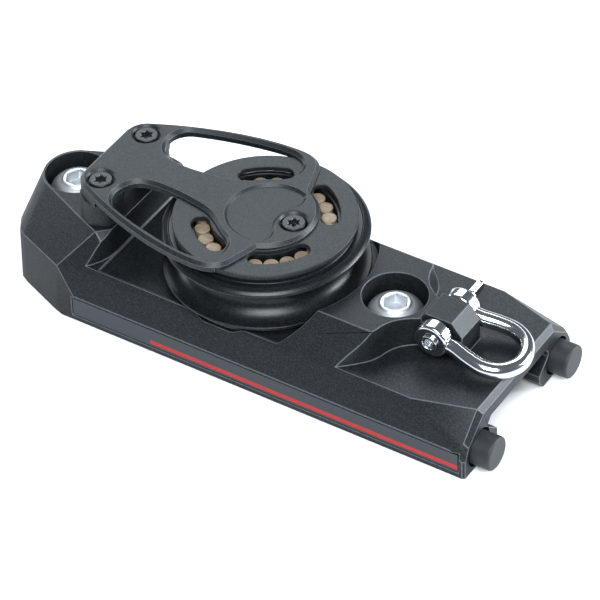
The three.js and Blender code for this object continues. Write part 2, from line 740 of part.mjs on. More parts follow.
// The pin, along Y through the origin, with a driving socket in its front end and a flat thumb tab
// on its rear end.
function shacklePin() {
  const edge = 0.5;
  const pin = turned(
    [
      [0, -PIN_HALF_LENGTH],
      [PIN_R - edge, -PIN_HALF_LENGTH],
      [PIN_R, -PIN_HALF_LENGTH + edge],
      [PIN_R, PIN_HALF_LENGTH - edge],
      [PIN_R - edge, PIN_HALF_LENGTH],
      [0, PIN_HALF_LENGTH],
    ],
    32,
  );
  const socket = hexagonSocket(2.2, PIN_HALF_LENGTH - 1.4, PIN_HALF_LENGTH + 1);
  const { startY, endY, halfWidth, halfThickness, neckR } = PIN_TAB;
  const neck = bar(neckR, -startY - 0.8, 1 - PIN_HALF_LENGTH, 0, 0, 24);
  const corner = 1.1;
  const tabOutline = new THREE.Shape();
  tabOutline.moveTo(-halfWidth, -startY);
  tabOutline.lineTo(halfWidth, -startY);
  tabOutline.lineTo(halfWidth, corner - endY);
  tabOutline.lineTo(halfWidth - corner, -endY);
  tabOutline.lineTo(corner - halfWidth, -endY);
  tabOutline.lineTo(-halfWidth, corner - endY);
  const tab = plate(tabOutline, -halfThickness, halfThickness, { bevel: 0.25 });
  // the outline's X and Y become Y and Z, and its depth runs along X
  tab.applyMatrix4(new THREE.Matrix4().set(0, 0, 1, 0, 1, 0, 0, 0, 0, 1, 0, 0, 0, 0, 0, 1));
  const drilled = geometryOf(cut(join(solidOf(pin), neck, solidOf(tab)), socket));
  drilled.rotateX(Math.PI / 2);
  return drilled;
}

// ---------------------------------------------------------------- trim

function bumperPeg() {
  const edge = 0.7;
  const length = PEG_FACE_X - PEG_ROOT_X;
  const peg = turned(
    [
      [0, 0],
      [PEG_R, 0],
      [PEG_R, length - edge],
      [PEG_R - edge, length],
      [0, length],
    ],
    36,
  );
  peg.rotateY(Math.PI / 2);
  return peg;
}

function sideStrip() {
  const { startX, endX, lowZ, highZ, thickness } = STRIP;
  return new THREE.BoxGeometry(endX - startX, thickness, highZ - lowZ);
}

// ---------------------------------------------------------------- assembly

const object = new THREE.Group();
object.position.x = -(NOSE_TIP_X + PEG_FACE_X) / 2;

object.add(node("base_body", "body", baseBody()));

const stripMiddle = {
  x: (STRIP.startX + STRIP.endX) / 2,
  y: BODY_HALF_WIDTH - STRIP_RECESS_DEPTH + SEAT_GAP + STRIP.thickness / 2,
  z: (STRIP.lowZ + STRIP.highZ) / 2,
};
for (const [place, side] of [["front", -1], ["rear", 1]]) {
  const stripName = `${place}_side_strip`;
  object.add(node(stripName, "strip", sideStrip(), stripMiddle.x, side * stripMiddle.y, stripMiddle.z));
  object.add(node(`${place}_bumper_peg`, "rubber", bumperPeg(), PEG_ROOT_X, side * PEG_Y, PEG_Z));
  const screwY = side * CHEEK_SCREW.y;
  const screwLength = SCREW_TOP_Z - SCREW_END_Z;
  const screw = socketScrew(2.5 - SEAT_GAP, screwLength);
  object.add(node(`${place}_cheek_screw`, "blackScrew", screw, CHEEK_SCREW.x, screwY, SCREW_TOP_Z));
  object.add(node(`${place}_cheek_spacer`, "body", cheekSpacer(), CHEEK_SCREW.x, screwY, 0));
}

for (const [place, x] of Object.entries(DECK_BOLT_X)) {
  object.add(node(`${place}_deck_bolt`, "stainless", deckBolt(), x, 0, 0));
}

object.add(node("sheave", "sheave", sheave(), 0, 0, SHEAVE_MID_Z));
object.add(node("hub_sleeve", "racePlate", hubSleeve(), 0, 0, SHEAVE_MID_Z));
object.add(node("upper_race_plate", "racePlate", racePlate(true), 0, 0, SHEAVE_MID_Z + RACE_PLATE_INNER_Z));
const lowerPlateZ = SHEAVE_MID_Z - RACE_PLATE_INNER_Z - RACE_PLATE_THICKNESS;
object.add(node("lower_race_plate", "racePlate", racePlate(false), 0, 0, lowerPlateZ));
object.add(node("upper_side_balls", "ball", sideBalls(), 0, 0, SHEAVE_MID_Z + BALL_Z));
object.add(node("lower_side_balls", "ball", sideBalls(), 0, 0, SHEAVE_MID_Z - BALL_Z));

for (let i = 0; i < ROLLER_COUNT; i++) {
  const turn = ((i + 0.5) * 2 * Math.PI) / ROLLER_COUNT;
  const x = ROLLER_PITCH_R * Math.cos(turn);
  const y = ROLLER_PITCH_R * Math.sin(turn);
  const name = `roller_${String(i + 1).padStart(2, "0")}`;
  object.add(node(name, "roller", roller(), x, y, SHEAVE_MID_Z));
}

object.add(node("cheek_plate", "cheek", cheekPlate()));
const hubScrewHead = SCREW_TOP_Z - (SHEAVE_MID_Z + RACE_PLATE_INNER_Z) - SEAT_GAP;
const hubScrew = socketScrew(hubScrewHead, SCREW_TOP_Z - SCREW_END_Z);
object.add(node("hub_screw", "blackScrew", hubScrew, HUB_SCREW_X, 0, SCREW_TOP_Z));

const shackle = new THREE.Group();
shackle.position.set(PIN_AXIS.x, 0, PIN_AXIS.z);
shackle.rotation.y = degrees(SHACKLE_TILT);
shackle.add(node("shackle_bow", "stainless", shackleBow()));
shackle.add(node("shackle_pin", "stainless", shacklePin()));
object.add(shackle);

const assembly = new THREE.Group();
assembly.add(object);

export default assembly;
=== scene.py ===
# Track end control: one horizontal sheave under an open cheek, with a becket block and a bow shackle.
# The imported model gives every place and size. Shapes are drawn in millimetres round the sheave's
# axis and set down in metres.

import math

import bmesh
import bpy
from mathutils import Matrix, Vector
from mathutils.geometry import tessellate_polygon


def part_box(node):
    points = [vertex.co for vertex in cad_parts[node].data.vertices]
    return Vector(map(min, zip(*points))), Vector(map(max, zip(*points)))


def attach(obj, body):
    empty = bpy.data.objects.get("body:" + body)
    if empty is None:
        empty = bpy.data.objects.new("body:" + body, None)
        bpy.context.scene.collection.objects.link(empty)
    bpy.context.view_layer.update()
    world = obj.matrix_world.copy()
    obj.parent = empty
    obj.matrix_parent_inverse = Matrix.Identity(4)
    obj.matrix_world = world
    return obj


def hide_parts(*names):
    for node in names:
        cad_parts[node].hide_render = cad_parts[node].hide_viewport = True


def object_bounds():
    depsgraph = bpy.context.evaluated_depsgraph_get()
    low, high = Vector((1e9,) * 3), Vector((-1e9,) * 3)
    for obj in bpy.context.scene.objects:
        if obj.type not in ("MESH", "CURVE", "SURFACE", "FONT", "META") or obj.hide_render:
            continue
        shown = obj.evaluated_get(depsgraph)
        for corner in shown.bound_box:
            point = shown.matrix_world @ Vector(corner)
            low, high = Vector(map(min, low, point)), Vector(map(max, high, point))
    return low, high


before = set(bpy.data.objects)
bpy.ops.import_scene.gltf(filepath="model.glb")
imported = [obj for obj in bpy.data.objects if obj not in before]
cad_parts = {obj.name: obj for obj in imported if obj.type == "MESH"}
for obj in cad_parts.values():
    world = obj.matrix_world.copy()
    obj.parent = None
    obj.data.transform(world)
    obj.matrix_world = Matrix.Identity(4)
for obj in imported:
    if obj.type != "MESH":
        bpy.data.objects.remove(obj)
cad_box = [list(corner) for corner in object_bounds()]

MM = 0.001
AXIS = (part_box("sheave")[0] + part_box("sheave")[1]) / 2
AXIS_X = AXIS.x / MM
SHEAVE_Z = AXIS.z / MM

# Places along the part and across it, from the sheave's axis.
CHEEK_SCREW_X = -46
CHEEK_SCREW_Y = 11.1
HUB_SCREW_X = 9.1
NOSE_BOLT_X = -62.5
TAIL_BOLT_X = 40.6
PEG_Y = 20.6
PEG_Z = 5.6
RED_LINE_START_X = -20.5

# Heights above the deck.
CHEEK_TOP = 38.2
CHEEK_UNDER = 34.8
CHEEK_PAD_UNDER = 33.6
SCREW_TOP = 37.9
BOLT_SEAT = 16.85

# Radii, counts and other sizes that more than one shape shares.
SCREW_COUNTERBORE_R = 3.65
SCREW_HOLE_R = 2.7
ROLLER_COUNT = 24
BALL_COUNT = 24
BALL_PITCH_R = 22.2
BALL_R = 1.45
BALL_ROW_RISE = 7.15
SHACKLE_TILT = 8.8

# Noise scales, per metre.
BLAST_GRAIN = 2600.0
SLOW_DRIFT = 38.0


# ---------------------------------------------------------------- outlines


def circle(radius, count, x=0.0, y=0.0, start=0.0):
    turns = [start + 2 * math.pi * i / count for i in range(count)]
    return [(x + radius * math.cos(t), y + radius * math.sin(t)) for t in turns]


def bezier(points, a, b, end, steps):
    """Continues a list of points along one cubic curve."""
    first = points[-1]
    for i in range(1, steps + 1):
        t = i / steps
        u = 1 - t
        weights = (u**3, 3 * u * u * t, 3 * u * t * t, t**3)
        points.append(
            tuple(
                sum(w * p[k] for w, p in zip(weights, (first, a, b, end)))
                for k in (0, 1)
            )
        )


def rounded(profile, radius, steps=3, closed=False):
    """A profile whose corners are small arcs. A third number in a point is that corner's own radius."""
    out = []
    count = len(profile)
    for i, point in enumerate(profile):
        here = Vector(point[:2])
        own = point[2] if len(point) > 2 else radius
        if not closed and i in (0, count - 1) or own == 0:
            out.append(tuple(here))
            continue
        back = Vector(profile[i - 1][:2]) - here
        ahead = Vector(profile[(i + 1) % count][:2]) - here
        reach = min(own, 0.45 * back.length, 0.45 * ahead.length)
        if back.angle(ahead) > math.radians(172):
            out.append(tuple(here))
            continue
        a = here + back.normalized() * reach
        b = here + ahead.normalized() * reach
        for k in range(steps + 1):
            t = k / steps
            out.append(tuple((1 - t) ** 2 * a + 2 * t * (1 - t) * here + t * t * b))
    return out


def hexagon(across_flats, count, turned_by=0.0):
    """A hexagon with as many points as the circle that it meets."""
    out = []
    for i in range(count):
        turn = 2 * math.pi * i / count
        reach = across_flats / 2 / math.cos((turn - turned_by + math.pi / 6) % (math.pi / 3) - math.pi / 6)
        out.append((reach * math.cos(turn), reach * math.sin(turn)))
    return out


def lobed(radius, count):
    """A driving socket with six round lobes."""
    out = []
    for i in range(count):
        turn = 2 * math.pi * i / count
        reach = radius * (0.86 + 0.14 * math.cos(6 * turn))
        out.append((reach * math.cos(turn), reach * math.sin(turn)))
    return out


# ---------------------------------------------------------------- solids


def placed(name, data):
    """A new object in the scene."""
    made = bpy.data.objects.new(name, data)
    bpy.context.scene.collection.objects.link(made)
    return made


def lifted(outline, z):
    return [(x, y, z) for x, y in outline]


def skin(form, loops, ring=False):
    """Walls between loops of equal count. A ring joins its last loop to its first; otherwise both ends
    are closed."""
    rows = [[form.verts.new(p) for p in loop] for loop in loops]
    pairs = list(zip(rows, rows[1:]))
    if ring:
        pairs.append((rows[-1], rows[0]))
    count = len(rows[0])
    for low, high in pairs:
        for i in range(count):
            j = (i + 1) % count
            form.faces.new((low[i], low[j], high[j], high[i]))
    if not ring:
        form.faces.new(list(reversed(rows[0])))
        form.faces.new(rows[-1])


def turned(form, profile, count=96, ring=False, extra=()):
    """A turned solid from (radius, height) points, low to high, with more loops on top if given."""
    loops = [lifted(circle(r, count), z) for r, z in profile]
    skin(form, loops + list(extra), ring)


def slab(form, outline, holes, low, high, edge, steps=3, wells=()):
    """A flat plate with rounded edges. holes go through; a well is a stack of loops down from the top,
    and ends in a floor, or in the underside if its last loop is there."""
    layers = []
    for k in range(steps + 1):
        turn = math.pi / 2 * k / steps
        layers.append((edge * (1 - math.sin(turn)), low + edge * (1 - math.cos(turn))))
    layers += [(inset, high + low - z) for inset, z in reversed(layers)]
    caps = {"low": [], "high": []}
    for index, loop in enumerate([outline, *holes]):
        inward = insets(loop, 1 if index == 0 else -1)
        rows = [
            [
                form.verts.new((x + inset * n[0], y + inset * n[1], z))
                for (x, y), n in zip(loop, inward)
            ]
            for inset, z in layers
        ]
        bridge(form, rows)
        caps["low"].append(rows[0])
        caps["high"].append(rows[-1])
    for well in wells:
        rows = [[form.verts.new(p) for p in loop] for loop in well]
        bridge(form, rows)
        caps["high"].append(rows[0])
        if abs(well[-1][0][2] - low) < 1e-6:
            caps["low"].append(rows[-1])
        else:
            fill(form, [rows[-1]])
    fill(form, caps["low"])
    fill(form, caps["high"])


def area(loop):
    return sum(a[0] * b[1] - b[0] * a[1] for a, b in zip(loop, loop[1:] + loop[:1])) / 2


def insets(loop, side):
    """At each point, the way into the plate's material."""
    turn = side if area(loop) > 0 else -side
    out = []
    count = len(loop)
    for i in range(count):
        back = Vector(loop[i]) - Vector(loop[i - 1])
        ahead = Vector(loop[(i + 1) % count]) - Vector(loop[i])
        mid = (back.normalized() + ahead.normalized()).normalized()
        square = max(mid.dot(back.normalized()), 0.5)
        out.append((-mid.y * turn / square, mid.x * turn / square))
    return out


def bridge(form, rows):
    """Walls between rows of points, open at both ends."""
    count = len(rows[0])
    for a, b in zip(rows, rows[1:]):
        for i in range(count):
            j = (i + 1) % count
            form.faces.new((a[i], a[j], b[j], b[i]))


def fill(form, loops):
    """A flat face that spans a loop, less the loops inside it."""
    corners = [v for loop in loops for v in loop]
    for a, b, c in tessellate_polygon([[v.co for v in loop] for loop in loops]):
        if len({a, b, c}) == 3:
            form.faces.new((corners[a], corners[b], corners[c]))


def solid(draw, *what, **how):
    """A form drawn by one of the functions above, with its faces turned out."""
    form = bmesh.new()
    draw(form, *what, **how)
    bmesh.ops.recalc_face_normals(form, faces=form.faces)
    return form


def mesh_of(form, name):
    mesh = bpy.data.meshes.new(name)
    form.to_mesh(mesh)
    form.free()
    return mesh


def combined(base, others, operation):
    """base joined with, or cut by, the other forms."""
    host = placed("work", mesh_of(base, "work"))
    tools = []
    for other in others:
        tool = placed("tool", mesh_of(other, "tool"))
        tools.append(tool)
        step = host.modifiers.new("step", "BOOLEAN")
        step.operation = operation
        step.solver = "EXACT"
        step.object = tool
    bpy.context.view_layer.update()
    worked = host.evaluated_get(bpy.context.evaluated_depsgraph_get())
    made = bpy.data.meshes.new_from_object(worked)
    form = bmesh.new()
    form.from_mesh(made)
    for spare in [host, *tools]:
        bpy.data.objects.remove(spare)
    return form


def moved(form, x=0.0, y=0.0, z=0.0, turn=None):
    if turn is not None:
        form.transform(turn)
    form.transform(Matrix.Translation((x, y, z)))
    return form


def piece(name, form, body, finish, stands_for, smooth):
    """Sets a form down in the frame as one piece, on its body, in place of the CAD nodes it stands for."""
    form.transform(Matrix.Diagonal((MM, MM, MM, 1)) @ Matrix.Translation((AXIS_X, 0, 0)))
    mesh = mesh_of(form, name)
    made = placed(name, mesh)
    mesh.materials.append(finish)
    shade(made, smooth)
    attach(made, body)
    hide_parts(*stands_for)


def shade(made, angle):
    """Curves run smooth, corners past the angle stay crisp, and the broad flats keep their own direction."""
    made.data.shade_smooth()
    made.data.set_sharp_from_angle(angle=math.radians(angle))
    flats = made.modifiers.new("flats", "WEIGHTED_NORMAL")
    flats.keep_sharp = True
    flats.weight = 80


# ---------------------------------------------------------------- finishes


class Wire:
    """A value in a material. Sums and products of wires add the nodes that work them out."""

    def __init__(self, finish, socket):
        self.finish = finish
        self.socket = socket

    def maths(self, operation, *others):
        inputs = dict(enumerate((self, *others)))
        return self.finish.add("ShaderNodeMath", {"operation": operation}, inputs)

    def __add__(self, other):
        return self.maths("ADD", other)

    __radd__ = __add__

    def __mul__(self, other):
        return self.maths("MULTIPLY", other)

    __rmul__ = __mul__

    def __sub__(self, other):
        return self.maths("SUBTRACT", other)

    def __rsub__(self, other):
        return self.finish.add("ShaderNodeMath", {"operation": "SUBTRACT"}, {0: other, 1: self})

    def __pow__(self, other):
        return self.maths("POWER", other)

    def __gt__(self, other):
        return self.maths("GREATER_THAN", other)

    def __lt__(self, other):
        return self.maths("LESS_THAN", other)

    def clamped(self):
        return self.maths("MAXIMUM", 0.0).maths("MINIMUM", 1.0)


class Finish:
    """One material, built node by node."""

    def __init__(self, name):
        self.material = bpy.data.materials.new(name)
        self.material.use_nodes = True
        self.nodes = self.material.node_tree.nodes
        self.surface = self.nodes["Principled BSDF"]

    def add(self, kind, settings=None, inputs=None, out=0):
        node = self.nodes.new(kind)
        for key, value in (settings or {}).items():
            setattr(node, key, value)
        for key, value in (inputs or {}).items():
            self.feed(node.inputs[key], value)
        return Wire(self, node.outputs[out])

    def feed(self, socket, value):
        if isinstance(value, Wire):
            self.material.node_tree.links.new(value.socket, socket)
        elif socket.type == "RGBA" and len(value) == 3:
            socket.default_value = (*value, 1)
        else:
            socket.default_value = value

    def give(self, **inputs):
        for key, value in inputs.items():
            self.feed(self.surface.inputs[key.replace("_", " ")], value)

    def place(self):
        """Where a point is on its own piece."""
        return self.add("ShaderNodeTexCoord", out=3)

    def noise(self, scale, detail, roughness, stretch=None):
        where = self.place()
        if stretch:
            where = self.add("ShaderNodeMapping", {}, {"Vector": where, "Scale": stretch})
        inputs = {"Vector": where, "Scale": scale, "Detail": detail, "Roughness": roughness}
        return self.add("ShaderNodeTexNoise", {}, inputs)

    def blended(self, factor, first, second):
        settings = {"data_type": "RGBA"}
        return self.add("ShaderNodeMix", settings, {0: factor, 6: first, 7: second}, out=2)

    def softened(self, radius):
        """The surface's own direction with its edges rounded off."""
        return self.add("ShaderNodeBevel", {"samples": 8}, {"Radius": radius})

    def edge_of(self, soft):
        """1 along the edges, 0 on the flats."""
        own = self.add("ShaderNodeNewGeometry", out=1)
        settings = {"operation": "DOT_PRODUCT"}
        facing = self.add("ShaderNodeVectorMath", settings, {0: soft, 1: own}, out=1)
        return ((1 - facing).maths("MAXIMUM", 0.0) ** 0.5 * 3.4 - 0.12).clamped()

    def bumped(self, height, strength, distance, normal=None):
        """The surface's direction with a fine relief on it."""
        inputs = {"Height": height, "Strength": strength, "Distance": distance}
        if normal is not None:
            inputs["Normal"] = normal
        return self.add("ShaderNodeBump", {}, inputs)


# Colour of the painted highlight laid along edges, where light would catch them.
EDGE_HIGHLIGHT_PAINT = (0.26, 0.285, 0.31)


def anodised(name, colour, worn, rough, round_off, grain=0.5):
    """Blasted, hard-anodised aluminium: a fine grain, slow drifts of tone, and a painted highlight along the
    edges.
    """
    f = Finish(name)
    soft = f.softened(round_off)
    # The body's bevel facets carry an attribute that adds to the painted edge highlight.
    facet = f.add("ShaderNodeAttribute", {"attribute_name": "highlight_facets"}, out=2)
    edge = f.edge_of(soft).maths("MAXIMUM", facet * 0.5)
    drift = f.noise(SLOW_DRIFT, 3.0, 0.6)
    speck = f.noise(BLAST_GRAIN, 3.0, 0.75)
    # Noise that breaks up the painted edge highlight.
    highlight_mottle = f.noise(700.0, 4.0, 0.7)
    dark = tuple(c * 0.75 for c in colour)
    tone = f.blended(drift, dark, tuple(c * 1.25 for c in colour))
    tone = f.blended(((speck - 0.5) * 1.3 + 0.10).clamped(), tone, worn)
    # Painted highlight: a pale metal colour along the edges, broken up by noise.
    tone = f.blended((edge * (highlight_mottle * 0.8 + 0.2)).clamped(), tone, EDGE_HIGHLIGHT_PAINT)
    f.give(Base_Color=tone, Metallic=0.0, IOR=1.40)
    f.give(Roughness=(rough - 0.05 + drift * 0.1 + speck * 0.08 - edge * 0.12).clamped())
    f.give(Normal=f.bumped(speck, grain, 0.00006, soft))
    return f.material


def polished(name, tint, rough, round_off=0.00025):
    """Polished stainless steel with faint buffing lines."""
    f = Finish(name)
    soft = f.softened(round_off)
    lines = f.noise(300.0, 3.0, 0.6, (1.0, 6.0, 1.0))
    cloud = f.noise(120.0, 2.0, 0.5)
    f.give(Base_Color=f.blended(cloud, tuple(c * 0.9 for c in tint), tint), Metallic=1.0)
    f.give(Roughness=(rough + lines * 0.06 + cloud * 0.04 - 0.03).clamped())
    f.give(Normal=f.bumped(lines, 0.12, 0.00002, soft))
    return f.material


def roller_resin(name):
    """Tan resin rollers, each a little different, with paler patches and dark flecks all over."""
    f = Finish(name)
    own = f.add("ShaderNodeObjectInfo", out=5)
    fibre = f.noise(1400.0, 4.0, 0.7)
    cloud = f.noise(420.0, 2.0, 0.5)
    base = f.blended(own, (0.20, 0.145, 0.095), (0.33, 0.25, 0.17))
    base = f.blended((cloud * 1.3 - 0.35).clamped(), base, (0.40, 0.33, 0.25))
    base = f.blended((fibre * 1.6 - 0.62).clamped(), base, (0.10, 0.065, 0.04))
    f.give(Base_Color=base, Roughness=(0.42 + fibre * 0.2).clamped())
    f.give(Normal=f.bumped(fibre, 0.25, 0.00005))
    return f.material


def ball_resin(name):
    f = Finish(name)
    cloud = f.noise(500.0, 3.0, 0.6)
    f.give(Base_Color=f.blended(cloud, (0.72, 0.70, 0.64), (0.86, 0.85, 0.80)))
    f.give(Roughness=(0.3 + cloud * 0.15).clamped())
    return f.material


def peg_rubber(name):
    """Moulded rubber, matt, with a dusting of paler bloom."""
    f = Finish(name)
    soft = f.softened(0.0003)
    skin_grain = f.noise(BLAST_GRAIN, 3.0, 0.7)
    bloom = f.noise(210.0, 4.0, 0.6)
    base = f.blended(bloom, (0.016, 0.018, 0.020), (0.035, 0.038, 0.041))
    f.give(Base_Color=base, Roughness=(0.5 + bloom * 0.12).clamped())
    f.give(Normal=f.bumped(skin_grain, 0.3, 0.00005, soft))
    return f.material


def strip_film(name, red_low, red_high, red_from):
    """A grey film with one red line along it, under a clear face."""
    f = Finish(name)
    where = f.add("ShaderNodeSeparateXYZ", {}, {0: f.place()}, out=2)
    along = f.add("ShaderNodeSeparateXYZ", {}, {0: f.place()}, out=0)
    line = (where > red_low) * (where < red_high) * (along > red_from)
    fleck = f.noise(3000.0, 2.0, 0.6)
    grey = f.blended(fleck, (0.025, 0.030, 0.034), (0.040, 0.046, 0.051))
    red = f.blended(fleck, (0.34, 0.009, 0.009), (0.44, 0.016, 0.015))
    f.give(Base_Color=f.blended(line, grey, red), Roughness=(0.3 + fleck * 0.1).clamped())
    f.give(Coat_Weight=0.12)
    return f.material


def floor_paint(name):
    f = Finish(name)
    cloud = f.noise(6.0, 2.0, 0.5)
    f.give(Base_Color=f.blended(cloud, (0.90, 0.90, 0.90), (0.93, 0.93, 0.93)), Roughness=0.7)
    return f.material


BODY = anodised("body_anodise", (0.0080, 0.0095, 0.0110), (0.085, 0.096, 0.106), 0.42, 0.00028)
CHEEK = anodised("cheek_anodise", (0.0110, 0.0128, 0.0145), (0.095, 0.106, 0.115), 0.38, 0.00022)
WHEEL = anodised("sheave_anodise", (0.0040, 0.0050, 0.0060), (0.07, 0.08, 0.09), 0.28, 0.0002, 0.15)
RACE = anodised("race_anodise", (0.0110, 0.0126, 0.0142), (0.095, 0.106, 0.115), 0.37, 0.0002)
SCREW = anodised("screw_black", (0.0050, 0.0056, 0.0065), (0.12, 0.13, 0.14), 0.26, 0.00018, 0.12)
STEEL = polished("polished_steel", (0.62, 0.635, 0.655), 0.13)
RESIN = roller_resin("roller_resin")
BOLT_STEEL = polished("satin_steel", (0.72, 0.735, 0.755), 0.46)
BALL = ball_resin("ball_resin")
RUBBER = peg_rubber("peg_rubber")

# ---------------------------------------------------------------- sheave and bearing


def sheave():
    hub, rim, edge_r = 8.4, 6.6, 28.5
    race_in, race_out, race_floor = 20.55, 23.85, 5.5
    groove_depth, groove_half, groove_steps = 5.9, 5.2, 24
    upper = [
        (19.4, hub, 0.3),
        (race_in, hub, 0.15),
        (race_in, race_floor, 0.4),
        (race_out, race_floor, 0.4),
        (race_out, hub, 0.2),
        (24.35, hub, 0.2),
        (24.45, rim + 0.35, 0.3),
        (26.2, rim + 0.2, 0.2),
        (26.3, rim + 0.55, 0.2),
        (27.6, rim + 0.1, 0.4),
        (edge_r, rim - 0.7, 0.5),
        (edge_r, groove_half, 0.25),
    ]
    groove = []
    for i in range(1, groove_steps):
        turn = math.pi * i / groove_steps - math.pi / 2
        groove.append((edge_r - groove_depth * math.cos(turn), groove_half * math.sin(turn), 0))
    lower = [(r, -z, soft) for r, z, soft in upper]
    profile = rounded(lower + groove + upper[::-1], 0.3, 4, closed=True)
    form = solid(turned, [(r, z + SHEAVE_Z) for r, z in profile], 180, ring=True)
    piece("sheave_wheel", form, "wheel", WHEEL, ["sheave"], 40)


def slot_outline(centre, half_angle):
    middle, end = 17.6, 2.6
    reach = half_angle - math.degrees(end / middle)
    low, high = math.radians(centre - reach), math.radians(centre + reach)
    points = []

    def arc(x, y, radius, a, b, steps):
        for i in range(steps):
            t = a + (b - a) * i / steps
            points.append((x + radius * math.cos(t), y + radius * math.sin(t)))

    arc(0, 0, middle + end, low, high, 24)
    arc(middle * math.cos(high), middle * math.sin(high), end, high, high + math.pi, 16)
    arc(0, 0, middle - end, high, low, 24)
    arc(middle * math.cos(low), middle * math.sin(low), end, low + math.pi, low + 2 * math.pi, 16)
    return points


def upper_race():
    low, high = (z / MM for z in (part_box("upper_race_plate")[0].z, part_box("upper_race_plate")[1].z))
    holes = [circle(3.55, 40, HUB_SCREW_X), circle(5.7, 48)]
    holes += [slot_outline(*s) for s in ((45, 28), (-45, 28), (122, 25), (-122, 25))]
    form = solid(slab, circle(25.2, 180), holes, low, high, 0.28, 3)
    piece("upper_race", form, "frame", RACE, ["upper_race_plate"], 40)


def rollers():
    half, radius = 7.4, 2.18
    profile = [(1.0, -half), (radius, -half, 0.35), (radius, half, 0.35), (1.0, half)]
    profile = rounded(profile, 0.3, 3)
    for i in range(ROLLER_COUNT):
        name = f"roller_{i + 1:02d}"
        low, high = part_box(name)
        x, y = ((low.x + high.x) / 2 - AXIS.x) / MM, (low.y + high.y) / 2 / MM
        form = moved(solid(turned, profile, 28), x, y, SHEAVE_Z)
        piece(f"turned_{name}", form, "roller_ring", RESIN, [name], 35)


def ball_row(row, body, height):
    form = bmesh.new()
    spacer = rounded([(21.85, -0.4), (22.55, -0.4), (22.55, 0.4), (21.85, 0.4)], 0.12, 2, True)
    turned(form, spacer, 96, ring=True)
    for i in range(BALL_COUNT):
        turn = 2 * math.pi * i / BALL_COUNT
        place = Matrix.Translation((BALL_PITCH_R * math.cos(turn), BALL_PITCH_R * math.sin(turn), 0))
        bmesh.ops.create_uvsphere(form, u_segments=16, v_segments=10, radius=BALL_R, matrix=place)
    bmesh.ops.recalc_face_normals(form, faces=form.faces)
    piece(row.replace("side", "race"), moved(form, z=height), body, BALL, [row], 50)


# ---------------------------------------------------------------- cheek


def cheek_outline():
    steps = 28
    hub_r, meets = 14.6, math.radians(66)
    points = [(-52.2, -9.6)]
    bezier(points, (-52.2, -12.7), (-50.7, -14.9), (-47.6, -16.3), 12)
    bezier(points, (-34.6, -22.6), (-19, -27.2), (-6, -27.3), steps)
    bezier(points, (-1.5, -27.4), (2.2, -25.6), (3.2, -22), 14)
    for i in range(37):
        t = -meets + 2 * meets * i / 36
        points.append((hub_r * math.cos(t), hub_r * math.sin(t)))
    points.append((3.2, 22))
    bezier(points, (2.2, 25.6), (-1.5, 27.4), (-6, 27.3), 14)
    bezier(points, (-19, 27.2), (-34.6, 22.6), (-47.6, 16.3), steps)
    bezier(points, (-50.7, 14.9), (-52.2, 12.7), (-52.2, 9.6), 12)
    return points


def cheek_window(side):
    points = [(-34.6, 6.1)]
    for curve in (
        ((-30, 4.8), (-21, 5.9), (-15, 7.3)),
        ((-10.4, 8.6), (-7.6, 12), (-3.4, 14.2)),
        ((-0.8, 16), (-0.4, 19.6), (-1.6, 21.8)),
        ((-3.4, 24.6), (-7.2, 24.9), (-11, 24.6)),
        ((-20, 23.6), (-28, 21.7), (-36, 18.9)),
        ((-41.2, 16.6), (-40.8, 8), (-34.6, 6.1)),
    ):
        bezier(points, *curve, 14)
    return [(x, side * y) for x, y in points[:-1]]


def hub_field():
    middle_x, radius, end = 1.4, 12.1, math.radians(68)
    points = []
    for i in range(61):
        t = end + (2 * math.pi - 2 * end) * i / 60
        points.append((middle_x + radius * math.cos(t), radius * math.sin(t)))
    bezier(points, (7.2, -10.4), (7.6, -7.4), (6.6, -5.5), 12)
    bezier(points, (3.9, -2.6), (3.9, 2.6), (6.6, 5.5), 14)
    bezier(points, (7.6, 7.4), (7.2, 10.4), points[0], 12)
    return points[:-1]


def at_screw(side, profile, count):
    """A turned solid on the axis of one of the two cheek screws."""
    return moved(solid(turned, profile, count), CHEEK_SCREW_X, side * CHEEK_SCREW_Y)


def cheek():
    """The open cheek: plate with windows, thick pad over the spacers, hub recess and screw seats."""
    top, under = CHEEK_TOP, CHEEK_UNDER
    field = hub_field()
    into = insets(field, 1)

    def field_loop(inset, z):
        return [(x + inset * n[0], y + inset * n[1], z) for (x, y), n in zip(field, into)]

    wells = [[field_loop(i, top - d) for i, d in ((-0.1, 0), (0.75, 0.75), (0.95, 0.8))]]
    bevel = [(4.45, top), (4.2, top - 0.1), (SCREW_COUNTERBORE_R, top - 0.7)]
    through = [*bevel, (SCREW_COUNTERBORE_R, under)]
    wells.append([lifted(circle(r, 40, HUB_SCREW_X), z) for r, z in through])
    for side in (-1, 1):
        seat = [(SCREW_COUNTERBORE_R, 35.5), (3.5, 35.4), (SCREW_HOLE_R, 35.4), (SCREW_HOLE_R, under)]
        centre = (CHEEK_SCREW_X, side * CHEEK_SCREW_Y)
        wells.append([lifted(circle(r, 40, *centre), z) for r, z in bevel + seat])
    windows = [cheek_window(-1), cheek_window(1)]
    form = solid(slab, cheek_outline(), windows, under, top, 0.95, 1, wells)
    pad = solid(slab, cheek_outline(), windows, CHEEK_PAD_UNDER, 36.6, 0.3, 2)
    band = solid(block, -60, -43.4, -30, 30, 30, 40)
    seats = [at_screw(side, [(6.3, 30), (6.3, 40)], 64) for side in (-1, 1)]
    band = combined(band, seats, "UNION")
    pad = combined(pad, [band], "INTERSECT")
    form = combined(form, [pad], "UNION")
    drill = [at_screw(side, [(SCREW_HOLE_R, 30), (SCREW_HOLE_R, 35.5)], 40) for side in (-1, 1)]
    room = solid(turned, [(25.6, 30), (25.6, 36.75)], 120)
    form = combined(form, [room, *drill], "DIFFERENCE")
    piece("cheek", form, "frame", CHEEK, ["cheek_plate"], 24)


def block(form, x0, x1, y0, y1, z0, z1):
    corners = [(x0, y0), (x1, y0), (x1, y1), (x0, y1)]
    skin(form, [lifted(corners, z0), lifted(corners, z1)])


